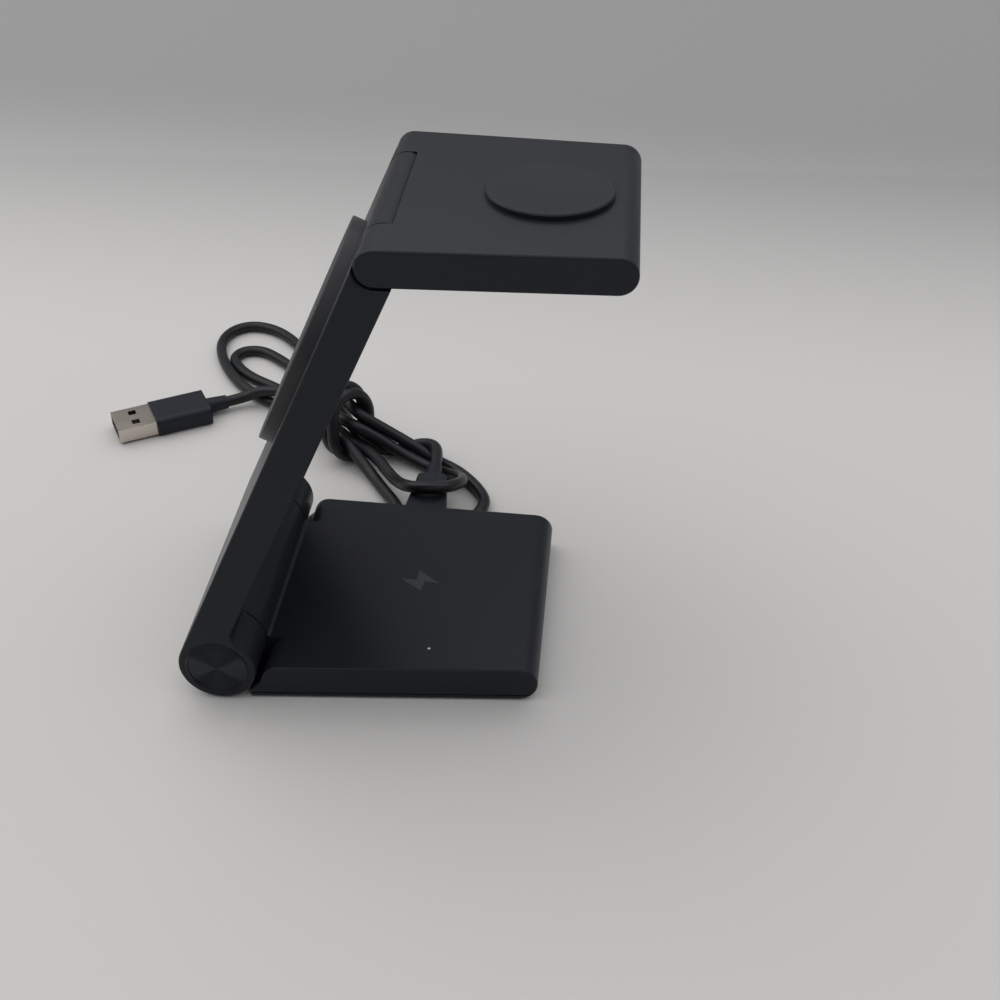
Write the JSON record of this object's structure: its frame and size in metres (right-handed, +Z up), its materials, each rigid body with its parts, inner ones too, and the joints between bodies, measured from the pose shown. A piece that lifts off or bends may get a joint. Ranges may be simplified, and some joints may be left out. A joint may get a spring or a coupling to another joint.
{
  "type": "folding wireless charger",
  "caption": "Folding wireless charger with a flat earbud base, a leaning hinged arm with a round phone puck, a hinged watch head and a bundled USB cord.",
  "frame": {"origin": "centre of the foot pad's underside, on the table", "axes": "+Z up, +X from the lower hinge towards the base's free end, +Y towards the side with the socket"},
  "size_m": [0.1623, 0.1826, 0.1206],
  "materials": {
    "soft_black": "fine soft-touch matte black",
    "puck_black": "matte black",
    "pad_rubber": "matte black rubber",
    "cap_metal": "spun dark metal",
    "steel": "plain steel",
    "bush_bronze": "bronze bush",
    "board_green": "circuit board",
    "coil_copper": "wound copper",
    "ferrite": "grey ferrite sheet",
    "magnet_nickel": "nickel-plated magnet",
    "plug_metal": "nickel-plated sheet",
    "plug_black": "black moulding",
    "cord_black": "black cord jacket",
    "light_clear": "clear light pipe"
  },
  "bodies": {
    "base": {"base_shell": "soft_black", "base_bottom_cover": "soft_black", "foot_pad": "pad_rubber", "cover_screw_1": "steel", "cover_screw_2": "steel", "cover_screw_3": "steel", "cover_screw_4": "steel", "ballast_plate": "steel", "main_board": "board_green", "usb_c_socket": "plug_metal", "earbud_coil": "coil_copper", "earbud_coil_shield": "ferrite", "status_light_pipe": "light_clear", "friction_bush_near": "bush_bronze", "friction_bush_far": "bush_bronze", "usb_c_shell": "plug_metal", "usb_c_body": "plug_black", "usb_c_relief": "plug_black", "usb_c_lead": "cord_black", "cable_hank": "cord_black", "cable_wrap_1": "cord_black", "cable_wrap_2": "cord_black", "usb_a_lead": "cord_black", "usb_a_relief": "plug_black", "usb_a_body": "plug_black", "usb_a_shell": "plug_metal", "usb_a_tongue": "plug_black"},
    "arm": {"arm_frame": "soft_black", "lower_hinge_shaft": "steel", "hinge_cap_near": "cap_metal", "hinge_cap_far": "cap_metal", "phone_puck": "puck_black", "phone_pad": "pad_rubber", "phone_coil_shield": "ferrite", "phone_coil": "coil_copper", "magnet_ring": "magnet_nickel", "arm_board": "board_green"},
    "head": {"head_shell": "soft_black", "upper_hinge_shaft": "steel", "watch_puck": "puck_black", "watch_coil": "coil_copper", "watch_magnet": "magnet_nickel", "watch_coil_shield": "ferrite", "head_board": "board_green"}
  },
  "joints": [
    {"name": "arm_hinge", "type": "hinge", "parent": "base", "child": "arm", "pos_m": [-0.04385, 0, 0.0099], "axis": [0, 1, 0], "range_deg": [-20, 64.6]},
    {"name": "head_hinge", "type": "hinge", "parent": "arm", "child": "head", "pos_m": [0.00047, 0, 0.1156], "axis": [0, 1, 0], "range_deg": [-66, 0]}
  ]
}
